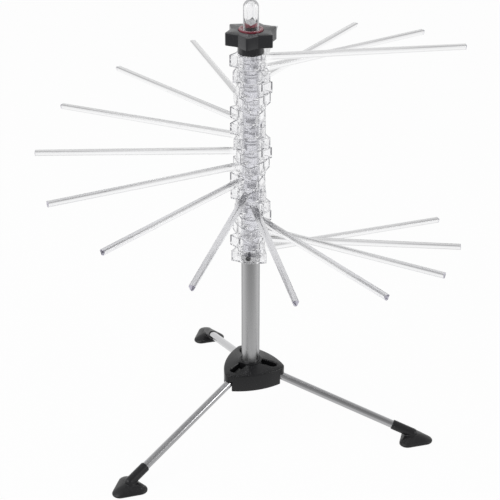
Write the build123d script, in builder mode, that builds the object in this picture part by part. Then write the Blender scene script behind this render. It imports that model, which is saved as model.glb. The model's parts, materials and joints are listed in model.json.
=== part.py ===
"""Pasta drying rack: a stack of clear ringed arms that fan out round a column on three folding legs.

Millimetres, +Z up. The origin lies on the floor under the column's axis. Angles are counted
anticlockwise from +X, seen from above. The rack stands open, as it is used.
"""

import os
from math import acos, atan2, cos, hypot, radians, sin, sqrt, tan

from build123d import *

os.makedirs("parts", exist_ok=True)

# Fan of arms
ARM_COUNT = 16
ARM_PITCH = 14.7  # height of one ring in the stack
ARM_STEP = 24.75  # turn from each arm to the next when the rack is open, in degrees
FIRST_ARM_ANGLE = 8.5  # direction of the top arm, in degrees
ARM_REACH = 225.0  # axis to arm tip
ARM_ROOT_WIDTH = 8.2
ARM_ROOT_HEIGHT = 7.0
ARM_TIP_WIDTH = 6.7
ARM_TIP_HEIGHT = 6.0
ARM_TOP_BEVEL = 1.0
ARM_LEVEL = 9.4  # middle of an arm above its ring's underside
ARM_KEEL_SHARE = 0.34  # half the keel's width over the arm's width
KEEL_FLATS = 4

# Column
STACK_BASE = 206.4  # underside of the lowest ring
TUBE_WALL = 0.75
TUBE_SOCKET = 8.0  # depth of tube held in the lowest ring
SLEEVE_WALL = 0.9
SLEEVE_SPIGOT = 25.0  # length of sleeve inside the tube
WAND_D = 16.0
WAND_RISE = 29.4  # wand's top above the knob's top

# Clearances
RUNNING_GAP = 0.08  # radial, ring or knob on the sleeve
SEAT_GAP = 0.05  # radial, between pieces fixed to each other
SLIDE_GAP = 0.3  # radial, wand in its sleeve
FACE_GAP = 0.15  # axial, between neighbouring rings
OVERRUN = 1.0  # how far a cut runs past the face it opens

# Ring of an arm: a cup with three corners, closed below by a round neck
BODY_R = 15.5
CORNER_R = 22.6
CORNER_NOSE = 0.9
SHELL_WALL = 1.6
BUSH_WALL = 1.6
CORNER_COUNT = 3
NECK_R = 14.0
NECK_HEIGHT = 1.3
RIM_HEIGHT = 1.3  # round rim above the corners
CUP_FLOOR = 1.5
DOG_ANGLE = 14.0  # width of a driving dog, in degrees
DOG_DEPTH = 4.0
DOG_GAP = 0.3  # round a dog, to the walls of the cup it hangs in
STOP_GAP_ANGLE = 0.5  # between a dog and the stop it has reached, in degrees

# Fixing screw of the lowest ring
SCREW_D = 3.0
SCREW_HEAD_D = 5.4
SCREW_HEAD_HEIGHT = 1.6
SCREW_HEIGHT = 7.1  # above the lowest ring's underside
HEX_SHARE = 0.5  # socket of a screw, its radius over the head's radius and its depth over the head's height

# Knob, its retaining ring and the wand's head
KNOB_POINTS = 6
KNOB_TIP_R = 28.4
KNOB_NOTCH_R = 20.6
KNOB_TIP_ROUND = 1.6
KNOB_ANGLE = 21.2  # direction of one tip, in degrees
KNOB_HEIGHT = 13.5
KNOB_COLLAR_R = 13.7
KNOB_COLLAR_HEIGHT = 11.0
KNOB_WALL = 2.2
KNOB_BEVEL = 0.8
RETAINER_D = 25.4
RETAINER_SINK = 1.5  # depth of the recess that takes it
RETAINER_PROUD = 1.3
RETAINER_BEVEL = 0.7
RETAINER_DISH = 1.8
WAND_RIM_R = 5.5  # outer edge of the flat rim
WAND_MOUTH_R = 4.4  # inner edge of the flat rim
WAND_RIM_HEIGHT = 4.0
WAND_FOOT_BEVEL = 1.8
WAND_BORE_D = 10.2
WAND_BORE_DEPTH = 21.0
WAND_BORE_POINT = 4.2

# Legs
LEG_COUNT = 3
LEG_ANGLE = -13.45  # direction of the first leg, in degrees
LEG_D = 9.0
LEG_WALL = 1.0
PIVOT_R = 25.0
PIVOT_Z = 65.8
KNUCKLE_TAIL = 11.5  # knuckle inboard of the pivot
KNUCKLE_NECK = 7.0  # knuckle outboard of the pivot, up to the tube's end
KNUCKLE_SPIGOT = 18.0
KNUCKLE_BEVEL = 1.6
PIN_D = 3.5
PIN_SEAT = 4.5  # length of pin in each wall of the hub
PIN_RUNNING_GAP = 0.06

# Hub
HUB_BASE_Z = 54.5
HUB_RIM_Z = 74.5
HUB_SHOULDER_Z = 78.0
HUB_TOP_Z = 79.5
HUB_COLLAR_R = 12.6
HUB_SIDE_R = 28.5  # axis to the middle of a side
HUB_BULGE_R = 78.0  # radius of a side
HUB_NOSE = 8.0
HUB_FLOOR = 4.0
HUB_NOTCH_R = 35.5  # where the side walls end beside a leg
HUB_SLOT_R = 30.0  # outer end of the slot over a leg
LEG_SIDE_GAP = 0.3
HUB_SCREW_D = 4.0
HUB_SCREW_HEAD_D = 8.0
HUB_SCREW_HEAD_HEIGHT = 2.4
HUB_SCREW_LENGTH = 12.0
PLUG_HEIGHT = 13.0

# Feet
FOOT_R = 191.75  # axis to the middle of a foot, where its socket ends
FOOT_SOCKET_Z = 6.75  # middle of the socket's end above the floor
FOOT_SOCKET_D = 11.0
FOOT_SOCKET_DEPTH = 19.0
FOOT_SOCKET_CAP = 11.0  # solid end beyond the leg's end
FOOT_SOCKET_NOSE = 4.5  # rounding of that end
FOOT_LENGTH = 35.5
FOOT_WIDTH = 38.0
FOOT_HEIGHT = 8.0
FOOT_RIM_HEIGHT = 2.5
FOOT_CORNER = 8.5
FOOT_DRAFT = 48.0  # lean of the pad's flanks above its rim, in degrees

# Places worked out from the sizes above
wand_r = WAND_D / 2
sleeve_bore_r = wand_r + SLIDE_GAP
sleeve_r = sleeve_bore_r + SLEEVE_WALL
tube_bore_r = sleeve_r + SEAT_GAP
tube_r = tube_bore_r + TUBE_WALL
ring_bore_r = sleeve_r + RUNNING_GAP
bush_r = ring_bore_r + BUSH_WALL
cup_r = BODY_R - SHELL_WALL
cup_height = ARM_PITCH - FACE_GAP
stack_top = STACK_BASE + ARM_COUNT * ARM_PITCH
knob_base = stack_top + KNOB_COLLAR_HEIGHT
knob_top = knob_base + KNOB_HEIGHT
tube_top = STACK_BASE + TUBE_SOCKET
tube_base = HUB_BASE_Z + HUB_FLOOR
sleeve_top = knob_top - FACE_GAP
pocket_angle = DOG_ANGLE + ARM_STEP
stop_angle = 360 / CORNER_COUNT - pocket_angle - 2 * STOP_GAP_ANGLE
first_corner = 180 / CORNER_COUNT  # direction of a corner, from the ring's arm
leg_turn = 360 / LEG_COUNT
leg_r = LEG_D / 2
pin_r = PIN_D / 2
channel_width = LEG_D + 2 * LEG_SIDE_GAP
leg_drop = PIVOT_Z - FOOT_SOCKET_Z
leg_spread = FOOT_R - PIVOT_R
leg_slope = atan2(leg_drop, leg_spread)
socket_length = FOOT_SOCKET_DEPTH + FOOT_SOCKET_CAP
socket_distance = hypot(leg_drop, leg_spread) - socket_length  # pivot to socket's mouth


def write(piece, name, angle=0.0, height=0.0):
    """Write one piece, turned and lifted to its place."""
    placed = piece.moved(Location((0, 0, height), (0, 0, angle)))
    placed.label = name
    export_step(placed, f"parts/{name}.step")


def cornered_outline(round_r, tip_r, nose):
    """Outline of a ring: a circle with three corners whose sides touch it."""
    lean = acos(round_r / tip_r)
    touch_x, touch_y = round_r * cos(lean), round_r * sin(lean)
    with BuildSketch() as outline:
        Circle(round_r)
        with PolarLocations(0, CORNER_COUNT, start_angle=first_corner):
            Polygon((0, 0), (touch_x, -touch_y), (tip_r, 0), (touch_x, touch_y), align=None)
        tips = outline.vertices().filter_by(lambda v: hypot(v.X, v.Y) > (round_r + tip_r) / 2)
        fillet(tips, nose)
    return outline.sketch


def ring_sector(inner_r, outer_r, width, middle):
    """Part of a flat ring, width degrees wide, about the direction middle."""
    reach = 2 * outer_r
    half = radians(width / 2)
    turn = radians(middle)
    edges = [(reach * cos(turn + side * half), reach * sin(turn + side * half)) for side in (-1, 0, 1)]
    with BuildSketch() as sector:
        Circle(outer_r)
        Circle(inner_r, mode=Mode.SUBTRACT)
        Polygon((0, 0), *edges, align=None, mode=Mode.INTERSECT)
    return sector.sketch


def corner_sectors(inner_r, outer_r, width, middle):
    """The same sector once for each corner of a ring."""
    with BuildSketch() as sectors:
        for corner in range(CORNER_COUNT):
            add(ring_sector(inner_r, outer_r, width, middle + 360 / CORNER_COUNT * corner))
    return sectors.sketch


def arm_section(width, height):
    """Section of an arm: flat top with bevelled edges, leaning sides and a keel of four flats."""
    keel = ARM_KEEL_SHARE * width
    shoulder = height / 2 - ARM_TOP_BEVEL
    keel_turns = [radians(-180 / KEEL_FLATS * n) for n in range(KEEL_FLATS + 1)]
    right_to_left = [(keel * cos(a), keel - height / 2 + keel * sin(a)) for a in keel_turns]
    top = [(-width / 2, shoulder), (ARM_TOP_BEVEL - width / 2, height / 2)]
    with BuildSketch() as section:
        Polygon(*right_to_left, *top, *[(-x, y) for x, y in reversed(top)], align=None)
    return section.sketch


def leg_plane(distance):
    """Plane square to a leg that points along +X, at a distance outboard of its pivot."""
    origin = (PIVOT_R + distance * cos(leg_slope), 0, PIVOT_Z - distance * sin(leg_slope))
    return Plane(origin=origin, x_dir=(0, 1, 0), z_dir=(cos(leg_slope), 0, -sin(leg_slope)))


# Ring and arm, one clear moulding. The ring is a cup with three hollow corners, which end below its
# round rim. Three stops fill the track between bush and shell, and leave a pocket in each corner for
# a dog of the ring above.
with BuildPart() as arm_blank:
    with BuildSketch(Plane.XY.offset(NECK_HEIGHT)):
        add(cornered_outline(BODY_R, CORNER_R, CORNER_NOSE))
    extrude(amount=cup_height - RIM_HEIGHT - NECK_HEIGHT)
    with BuildSketch(Plane.XY.offset(NECK_HEIGHT)):
        Circle(BODY_R)
    extrude(amount=cup_height - NECK_HEIGHT)
    with BuildSketch(Plane.XY):
        Circle(NECK_R)
    extrude(amount=NECK_HEIGHT + CUP_FLOOR)
    with BuildSketch(Plane.XY.offset(NECK_HEIGHT + CUP_FLOOR)):
        add(cornered_outline(cup_r, CORNER_R * cup_r / BODY_R, CORNER_NOSE))
        Circle(bush_r, mode=Mode.SUBTRACT)
        add(corner_sectors(ring_bore_r, cup_r, stop_angle, 0), mode=Mode.SUBTRACT)
    extrude(amount=cup_height, mode=Mode.SUBTRACT)
    with BuildSketch(Plane.YZ.offset(BODY_R - SHELL_WALL / 2)):
        with Locations((0, ARM_LEVEL)):
            add(arm_section(ARM_ROOT_WIDTH, ARM_ROOT_HEIGHT))
    with BuildSketch(Plane.YZ.offset(ARM_REACH)):
        with Locations((0, ARM_LEVEL)):
            add(arm_section(ARM_TIP_WIDTH, ARM_TIP_HEIGHT))
    loft(ruled=True)
    with BuildSketch(Plane.XY):
        Circle(ring_bore_r)
    extrude(amount=ARM_PITCH, mode=Mode.SUBTRACT)

# A moving arm adds three dogs below its neck. They hang in the corner pockets of the next ring,
# at one end of the pockets when the rack is open and at the other when it is folded.
with BuildPart() as moving_arm:
    add(arm_blank.part)
    with BuildSketch(Plane.XY):
        add(corner_sectors(bush_r + DOG_GAP, cup_r - DOG_GAP, DOG_ANGLE, first_corner + ARM_STEP / 2))
    extrude(amount=-DOG_DEPTH)

for level in range(1, ARM_COUNT):
    height = stack_top - level * ARM_PITCH
    write(moving_arm.part, f"arm_{level:02d}", FIRST_ARM_ANGLE + (level - 1) * ARM_STEP, height)

# The lowest arm has no dogs. It takes the tube's end in a socket and is screwed to it.
bottom_angle = FIRST_ARM_ANGLE + (ARM_COUNT - 1) * ARM_STEP
with BuildPart() as bottom_arm:
    add(arm_blank.part)
    with BuildSketch(Plane.XY):
        Circle(tube_r + SEAT_GAP)
    extrude(amount=TUBE_SOCKET, mode=Mode.SUBTRACT)
    screw_turn = radians(720 / CORNER_COUNT)
    screw_plane = Plane((0, 0, SCREW_HEIGHT), x_dir=(0, 0, 1), z_dir=(cos(screw_turn), sin(screw_turn), 0))
    with BuildSketch(screw_plane):
        Circle(SCREW_D / 2 + SEAT_GAP)
    extrude(amount=BODY_R + OVERRUN, mode=Mode.SUBTRACT)
    with BuildSketch(screw_plane.offset(BODY_R - SCREW_HEAD_HEIGHT)):
        Circle(SCREW_HEAD_D / 2 + SEAT_GAP)
    extrude(amount=SCREW_HEAD_HEIGHT + OVERRUN, mode=Mode.SUBTRACT)
write(bottom_arm.part, f"arm_{ARM_COUNT:02d}", bottom_angle, STACK_BASE)

# Screw that fixes the lowest arm to the tube.
with BuildPart() as ring_screw:
    with BuildSketch(screw_plane.offset(tube_bore_r)):
        Circle(SCREW_D / 2)
    extrude(amount=BODY_R - SCREW_HEAD_HEIGHT - tube_bore_r)
    with BuildSketch(screw_plane.offset(BODY_R - SCREW_HEAD_HEIGHT)):
        Circle(SCREW_HEAD_D / 2)
    extrude(amount=SCREW_HEAD_HEIGHT)
    with BuildSketch(screw_plane.offset(BODY_R - HEX_SHARE * SCREW_HEAD_HEIGHT)):
        RegularPolygon(HEX_SHARE * SCREW_HEAD_D / 2, 6)
    extrude(amount=SCREW_HEAD_HEIGHT, mode=Mode.SUBTRACT)
write(ring_screw.part, "ring_screw", bottom_angle, STACK_BASE)

# Column tube, drawn aluminium, drilled for the ring's screw and made in the lowest ring's frame.
with BuildPart() as column_tube:
    with BuildSketch(Plane.XY.offset(tube_base - STACK_BASE)):
        Circle(tube_r)
        Circle(tube_bore_r, mode=Mode.SUBTRACT)
    extrude(amount=tube_top - tube_base)
    with BuildSketch(screw_plane):
        Circle(SCREW_D / 2 + SEAT_GAP)
    extrude(amount=tube_r + OVERRUN, mode=Mode.SUBTRACT)
write(column_tube.part, "column_tube", bottom_angle, STACK_BASE)

# Clear sleeve in the tube's top: the rings and the knob turn on it, and the wand stands in it.
with BuildPart() as core_sleeve:
    with BuildSketch(Plane.XY.offset(tube_top - SLEEVE_SPIGOT)):
        Circle(sleeve_r)
        Circle(sleeve_bore_r, mode=Mode.SUBTRACT)
    extrude(amount=sleeve_top - tube_top + SLEEVE_SPIGOT)
write(core_sleeve.part, "core_sleeve")

# Plug in the tube's foot: the hub's screw draws it down, and the wand stands on it.
with BuildPart() as tube_plug:
    with BuildSketch(Plane.XY.offset(tube_base)):
        Circle(tube_bore_r - SEAT_GAP)
    extrude(amount=PLUG_HEIGHT)
    chamfer(tube_plug.edges().group_by(Axis.Z)[-1], SEAT_GAP + TUBE_WALL)
    with BuildSketch(Plane.XY.offset(tube_base)):
        Circle(HUB_SCREW_D / 2 + SEAT_GAP)
    extrude(amount=HUB_SCREW_LENGTH - HUB_FLOOR + HUB_SCREW_HEAD_HEIGHT + OVERRUN, mode=Mode.SUBTRACT)
write(tube_plug.part, "tube_plug")

# Wand: a clear rod with a blind bore in its head, and a bevelled rim.
wand_base = tube_base + PLUG_HEIGHT
wand_top = knob_top + WAND_RISE
with BuildPart() as wand:
    with BuildSketch(Plane.XZ):
        with BuildLine():
            Polyline(
                (0, wand_base),
                (wand_r - WAND_FOOT_BEVEL, wand_base),
                (wand_r, wand_base + WAND_FOOT_BEVEL),
                (wand_r, wand_top - WAND_RIM_HEIGHT),
                (WAND_RIM_R, wand_top),
                (WAND_MOUTH_R, wand_top),
                (WAND_BORE_D / 2, wand_top - WAND_RIM_HEIGHT),
                (WAND_BORE_D / 2, wand_top - WAND_BORE_DEPTH),
                (0, wand_top - WAND_BORE_DEPTH - WAND_BORE_POINT),
                close=True,
            )
        make_face()
    revolve(axis=Axis.Z)
write(wand.part, "wand")

# Knob: a six-pointed star on a round collar. Three wide dogs below the collar fill the pockets of
# the top ring, which therefore turns with it. The star is shelled from below.
star_turns = [KNOB_ANGLE + 180 / KNOB_POINTS * n for n in range(2 * KNOB_POINTS)]


def star_outline(inset, tip_round):
    """Outline of the star, drawn in by an inset."""
    radii = (KNOB_TIP_R - inset * KNOB_TIP_R / KNOB_NOTCH_R, KNOB_NOTCH_R - inset)
    reaches = radii * KNOB_POINTS
    corners = [(reach * cos(radians(a)), reach * sin(radians(a))) for reach, a in zip(reaches, star_turns)]
    with BuildSketch() as star:
        with BuildLine():
            Polyline(*corners, close=True)
        make_face()
        tips = star.vertices().filter_by(lambda v: hypot(v.X, v.Y) > sum(radii) / 2)
        fillet(tips, tip_round)
    return star.sketch


with BuildPart() as knob:
    with BuildSketch(Plane.XY.offset(knob_base)):
        add(star_outline(0, KNOB_TIP_ROUND))
    extrude(amount=KNOB_HEIGHT)
    chamfer(knob.edges().group_by(Axis.Z)[-1], KNOB_BEVEL)
    with BuildSketch(Plane.XY.offset(knob_base)):
        add(star_outline(KNOB_WALL, KNOB_TIP_ROUND))
        Circle(KNOB_COLLAR_R, mode=Mode.SUBTRACT)
    extrude(amount=KNOB_HEIGHT - RETAINER_SINK - KNOB_WALL, mode=Mode.SUBTRACT)
    with BuildSketch(Plane.XY.offset(stack_top)):
        Circle(KNOB_COLLAR_R)
    extrude(amount=KNOB_COLLAR_HEIGHT + KNOB_BEVEL)
    with BuildSketch(Plane.XY.offset(stack_top)):
        add(corner_sectors(bush_r + DOG_GAP, cup_r - DOG_GAP, pocket_angle, FIRST_ARM_ANGLE + first_corner))
    extrude(amount=-DOG_DEPTH)
    with BuildSketch(Plane.XY.offset(knob_top - RETAINER_SINK)):
        Circle(RETAINER_D / 2 + DOG_GAP)
    extrude(amount=RETAINER_SINK + OVERRUN, mode=Mode.SUBTRACT)
    with BuildSketch(Plane.XY.offset(stack_top - DOG_DEPTH)):
        Circle(ring_bore_r)
    extrude(amount=knob_top - stack_top + DOG_DEPTH, mode=Mode.SUBTRACT)
write(knob.part, "knob")

# Retaining ring on the sleeve's end: it keeps the knob down, and its dish guides the wand in.
retainer_base = knob_top - RETAINER_SINK + FACE_GAP
retainer_top = knob_top + RETAINER_PROUD
with BuildPart() as retaining_ring:
    with BuildSketch(Plane.XZ):
        with BuildLine():
            Polyline(
                (sleeve_r + SEAT_GAP, retainer_base),
                (RETAINER_D / 2, retainer_base),
                (RETAINER_D / 2, retainer_top - RETAINER_BEVEL),
                (RETAINER_D / 2 - RETAINER_BEVEL, retainer_top),
                (sleeve_bore_r + RETAINER_DISH, retainer_top),
                (sleeve_bore_r, sleeve_top + FACE_GAP),
                (sleeve_bore_r, sleeve_top),
                (sleeve_r + SEAT_GAP, sleeve_top),
                close=True,
            )
        make_face()
    revolve(axis=Axis.Z)
write(retaining_ring.part, "retaining_ring")

# Hub: a rounded triangle with a corner over each leg. A leg bears on the roof of its corner when
# it stands open, and its inner end swings up through the slot in the top when it is folded.
roof_lift = (leg_r + LEG_SIDE_GAP) / cos(leg_slope)


def leg_height(radius):
    """Height of an open leg's axis at a radius from the column's axis."""
    return PIVOT_Z - (radius - PIVOT_R) * tan(leg_slope)


# The middle of each side lies HUB_SIDE_R out, on an arc of radius HUB_BULGE_R.
side_centre = HUB_BULGE_R - HUB_SIDE_R
hub_corner_r = (sqrt(4 * HUB_BULGE_R**2 - 3 * side_centre**2) - side_centre) / 2
hub_reach = hub_corner_r + OVERRUN
with BuildPart() as hub:
    with BuildSketch(Plane.XY.offset(HUB_BASE_Z)) as hub_outline:
        Circle(hub_reach)
        for turn in range(LEG_COUNT):
            a = radians(leg_turn * turn)
            with Locations((side_centre * cos(a), side_centre * sin(a))):
                Circle(HUB_BULGE_R, mode=Mode.INTERSECT)
        fillet(hub_outline.vertices(), HUB_NOSE)
    extrude(amount=HUB_TOP_Z - HUB_BASE_Z)
    with BuildSketch(Plane.XZ):
        with BuildLine():
            Polyline(
                (0, HUB_BASE_Z - OVERRUN),
                (hub_reach, HUB_BASE_Z - OVERRUN),
                (hub_reach, HUB_RIM_Z),
                (HUB_SIDE_R, HUB_RIM_Z),
                (HUB_COLLAR_R, HUB_SHOULDER_Z),
                (HUB_COLLAR_R, HUB_TOP_Z),
                (0, HUB_TOP_Z),
                close=True,
            )
        make_face()
    revolve(axis=Axis.Z, mode=Mode.INTERSECT)
    for turn in range(LEG_COUNT):
        upright = Plane.XZ.rotated((0, 0, leg_turn * turn))
        across = Plane.XY.rotated((0, 0, leg_turn * turn))
        with BuildSketch(upright):
            with BuildLine():
                Polyline(
                    (HUB_NOTCH_R, HUB_BASE_Z - OVERRUN),
                    (HUB_NOTCH_R, leg_height(HUB_NOTCH_R) + roof_lift),
                    (hub_reach, leg_height(hub_reach) + roof_lift),
                    (hub_reach, HUB_BASE_Z - OVERRUN),
                    close=True,
                )
            make_face()
        extrude(amount=HUB_SIDE_R, both=True, mode=Mode.SUBTRACT)
        with BuildSketch(upright):
            with BuildLine():
                Polyline(
                    (HUB_COLLAR_R, HUB_BASE_Z - OVERRUN),
                    (HUB_COLLAR_R, leg_height(HUB_COLLAR_R) + roof_lift),
                    (HUB_NOTCH_R + OVERRUN, leg_height(HUB_NOTCH_R + OVERRUN) + roof_lift),
                    (HUB_NOTCH_R + OVERRUN, HUB_BASE_Z - OVERRUN),
                    close=True,
                )
            make_face()
        extrude(amount=channel_width / 2, both=True, mode=Mode.SUBTRACT)
        with BuildSketch(across.offset(PIVOT_Z)):
            with Locations(((HUB_COLLAR_R + HUB_SLOT_R - channel_width / 2) / 2, 0)):
                Rectangle(HUB_SLOT_R - channel_width / 2 - HUB_COLLAR_R, channel_width)
            with Locations((HUB_SLOT_R - channel_width / 2, 0)):
                Circle(channel_width / 2)
        extrude(amount=HUB_TOP_Z - PIVOT_Z + OVERRUN, mode=Mode.SUBTRACT)
        with BuildSketch(upright):
            with Locations((PIVOT_R, PIVOT_Z)):
                Circle(pin_r + SEAT_GAP)
            with Locations((PIVOT_R, (PIVOT_Z + HUB_BASE_Z) / 2)):
                Rectangle(PIN_D + 2 * SEAT_GAP, PIVOT_Z - HUB_BASE_Z)
        extrude(amount=channel_width / 2 + PIN_SEAT + SEAT_GAP, both=True, mode=Mode.SUBTRACT)
    with BuildSketch(Plane.XY.offset(tube_base)):
        Circle(tube_r + SEAT_GAP)
    extrude(amount=HUB_TOP_Z - tube_base, mode=Mode.SUBTRACT)
    with BuildSketch(Plane.XY.offset(HUB_BASE_Z)):
        Circle(HUB_SCREW_D / 2 + SEAT_GAP)
    extrude(amount=HUB_FLOOR, mode=Mode.SUBTRACT)
    with BuildSketch(Plane.XY.offset(HUB_BASE_Z)):
        Circle(HUB_SCREW_HEAD_D / 2 + SEAT_GAP)
    extrude(amount=HUB_SCREW_HEAD_HEIGHT, mode=Mode.SUBTRACT)
write(hub.part, "hub", LEG_ANGLE)

# Hub screw: it goes up through the hub's floor into the plug.
with BuildPart() as hub_screw:
    with BuildSketch(Plane.XY.offset(HUB_BASE_Z)):
        Circle(HUB_SCREW_HEAD_D / 2)
    extrude(amount=HUB_SCREW_HEAD_HEIGHT)
    with BuildSketch(Plane.XY.offset(HUB_BASE_Z)):
        RegularPolygon(HEX_SHARE * HUB_SCREW_HEAD_D / 2, 6)
    extrude(amount=HEX_SHARE * HUB_SCREW_HEAD_HEIGHT, mode=Mode.SUBTRACT)
    with BuildSketch(Plane.XY.offset(HUB_BASE_Z + HUB_SCREW_HEAD_HEIGHT)):
        Circle(HUB_SCREW_D / 2)
    extrude(amount=HUB_SCREW_LENGTH)
write(hub_screw.part, "hub_screw")

# Pivot pin of a leg, across its channel in the hub.
with BuildPart() as pivot_pin:
    with BuildSketch(Plane.XZ):
        with Locations((PIVOT_R, PIVOT_Z)):
            Circle(pin_r)
    extrude(amount=channel_width / 2 + PIN_SEAT, both=True)

# Knuckle: a moulded block that turns on the pin and plugs into the leg's tube.
knuckle_length = KNUCKLE_TAIL + KNUCKLE_NECK
with BuildPart() as knuckle:
    with BuildSketch(leg_plane(-KNUCKLE_TAIL)):
        Circle(leg_r)
    extrude(amount=knuckle_length)
    tail = knuckle.edges().filter_by(GeomType.CIRCLE).sort_by_distance(leg_plane(-KNUCKLE_TAIL).origin)[0]
    chamfer(tail, KNUCKLE_BEVEL)
    with BuildSketch(leg_plane(KNUCKLE_NECK)):
        Circle(leg_r - LEG_WALL - SEAT_GAP)
    extrude(amount=KNUCKLE_SPIGOT)
    with BuildSketch(Plane.XZ):
        with Locations((PIVOT_R, PIVOT_Z)):
            Circle(pin_r + PIN_RUNNING_GAP)
    extrude(amount=LEG_D, both=True, mode=Mode.SUBTRACT)

# Leg tube, polished.
with BuildPart() as leg:
    with BuildSketch(leg_plane(KNUCKLE_NECK)):
        Circle(leg_r)
        Circle(leg_r - LEG_WALL, mode=Mode.SUBTRACT)
    extrude(amount=socket_distance + FOOT_SOCKET_DEPTH - KNUCKLE_NECK)

# Foot: a socket for the leg on a low crowned pad, narrow outboard and with a wing each side inboard.
foot_half = FOOT_WIDTH / 2 - FOOT_CORNER
foot_run = FOOT_LENGTH / 2 - FOOT_CORNER
with BuildPart() as foot_socket:
    with BuildSketch(leg_plane(socket_distance)):
        Circle(FOOT_SOCKET_D / 2)
    extrude(amount=socket_length)
    far_end = leg_plane(socket_distance + socket_length).origin
    fillet(foot_socket.edges().filter_by(GeomType.CIRCLE).sort_by_distance(far_end)[0], FOOT_SOCKET_NOSE)
with BuildPart() as foot:
    with BuildSketch(Plane.XY) as pad_outline:
        with Locations((FOOT_R + foot_run, 0)):
            Circle(FOOT_CORNER)
        with Locations((FOOT_R - foot_run, foot_half), (FOOT_R - foot_run, -foot_half)):
            Circle(FOOT_CORNER)
        make_hull()
    extrude(amount=FOOT_RIM_HEIGHT)
    with BuildSketch(Plane.XY.offset(FOOT_RIM_HEIGHT)):
        add(pad_outline.sketch)
    extrude(amount=FOOT_HEIGHT - FOOT_RIM_HEIGHT, taper=FOOT_DRAFT)
    add(foot_socket.part)
    with BuildSketch(leg_plane(socket_distance)):
        Circle(leg_r + SEAT_GAP)
    extrude(amount=FOOT_SOCKET_DEPTH, mode=Mode.SUBTRACT)

for number in range(LEG_COUNT):
    turn = LEG_ANGLE + leg_turn * number
    write(pivot_pin.part, f"leg_pin_{number + 1}", turn)
    write(knuckle.part, f"leg_knuckle_{number + 1}", turn)
    write(leg.part, f"leg_{number + 1}", turn)
    write(foot.part, f"foot_{number + 1}", turn)
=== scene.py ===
import json
from math import acos, atan2, cos, degrees, pi, radians, sin, sqrt

import bmesh
import bpy
from mathutils import Matrix, Vector


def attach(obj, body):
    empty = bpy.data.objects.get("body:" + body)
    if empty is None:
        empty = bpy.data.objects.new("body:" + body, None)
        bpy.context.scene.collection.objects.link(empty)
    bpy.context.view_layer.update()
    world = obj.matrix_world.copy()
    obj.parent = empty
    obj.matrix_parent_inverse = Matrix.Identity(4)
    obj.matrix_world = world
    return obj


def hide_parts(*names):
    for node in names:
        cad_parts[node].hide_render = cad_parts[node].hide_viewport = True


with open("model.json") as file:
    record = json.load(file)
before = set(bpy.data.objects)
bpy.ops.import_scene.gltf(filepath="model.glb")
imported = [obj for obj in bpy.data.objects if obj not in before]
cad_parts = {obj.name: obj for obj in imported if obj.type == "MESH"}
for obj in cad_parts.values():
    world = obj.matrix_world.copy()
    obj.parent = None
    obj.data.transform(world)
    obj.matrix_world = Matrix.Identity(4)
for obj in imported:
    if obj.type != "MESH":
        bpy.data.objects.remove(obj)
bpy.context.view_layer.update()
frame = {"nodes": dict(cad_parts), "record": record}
nodes = frame["nodes"]

# Hub. A black moulding that grips the tube's foot, with a corner over each leg. A slot in each
# corner lets the leg's inner end swing up when the leg is folded.

MM = 0.001
LEG_ANGLE = -13.45
LEG_COUNT = 3
LEG_TURN = 360 / LEG_COUNT
LEG_R = 4.5
LEG_PLAY = 0.3
PIVOT_R = 25.0
PIVOT_Z = 65.8
FOOT_R = 191.75
FOOT_SOCKET_Z = 6.75
TUBE_R = 10.0
TUBE_FIT = 0.05
HUB_BASE_Z = 54.5
HUB_RIM_Z = 74.5
HUB_SHOULDER_Z = 78.0
HUB_TOP_Z = 79.5
HUB_FLOOR = 4.0
HUB_HOLE_R = TUBE_R - 3
HUB_COLLAR_R = 12.6
HUB_COLLAR_FILLET = 0.7
HUB_SIDE_CENTRE = 49.5
HUB_BULGE_R = 78.0
HUB_NOSE_R = 8.0
HUB_EDGE_INSET = 1.4
HUB_EDGE_RISE = 0.15
HUB_SOFT_EDGE = 0.35
CREASE = 32
HUB_CREASE = 40
CHANNEL_HALF = 4.8
NOTCH_START = 35.5
NOTCH_END = 45
NOTCH_HALF = 14
SLOT_END = 30.0
SLOT_LIP = 1.1
LIP_SLOPE = 0.85


def feed(node, inputs):
    """Give a node's inputs their values, or link them to the outputs of other nodes."""
    for name, value in inputs.items():
        if isinstance(value, bpy.types.NodeSocket):
            node.id_data.links.new(value, node.inputs[name])
        else:
            node.inputs[name].default_value = value
    return node


def add_node(tree, kind, inputs=None, **settings):
    """Add a node to a tree, set it and feed its inputs."""
    node = tree.nodes.new(kind)
    for name, value in settings.items():
        setattr(node, name, value)
    return feed(node, inputs or {})


def reckon(tree, operation, first, second=0.0):
    """One step of arithmetic on numbers or outputs."""
    return add_node(tree, "ShaderNodeMath", {0: first, 1: second}, operation=operation).outputs["Value"]


def ramp(tree, value, from_min, from_max, to_min=0.0, to_max=1.0):
    """An output mapped from one range to another and held at its ends."""
    ends = {"From Min": from_min, "From Max": from_max, "To Min": to_min, "To Max": to_max}
    return add_node(tree, "ShaderNodeMapRange", {"Value": value, **ends}).outputs["Result"]


def noise(tree, where, scale, detail=2):
    """Noise at a scale, at the coordinates given."""
    inputs = {"Vector": where, "Scale": scale, "Detail": detail}
    return add_node(tree, "ShaderNodeTexNoise", inputs).outputs["Fac"]


def relief(tree, height, strength, depth):
    """The normal of a surface with this relief on it."""
    inputs = {"Height": height, "Strength": strength, "Distance": depth}
    return add_node(tree, "ShaderNodeBump", inputs).outputs["Normal"]


def new_material(name, sockets):
    """A material, its tree, its shader with the sockets set, and its object coordinates."""
    material = bpy.data.materials.new(name)
    material.use_nodes = True
    tree = material.node_tree
    shader = feed(tree.nodes["Principled BSDF"], sockets)
    return material, tree, shader, add_node(tree, "ShaderNodeTexCoord").outputs["Object"]


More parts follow.
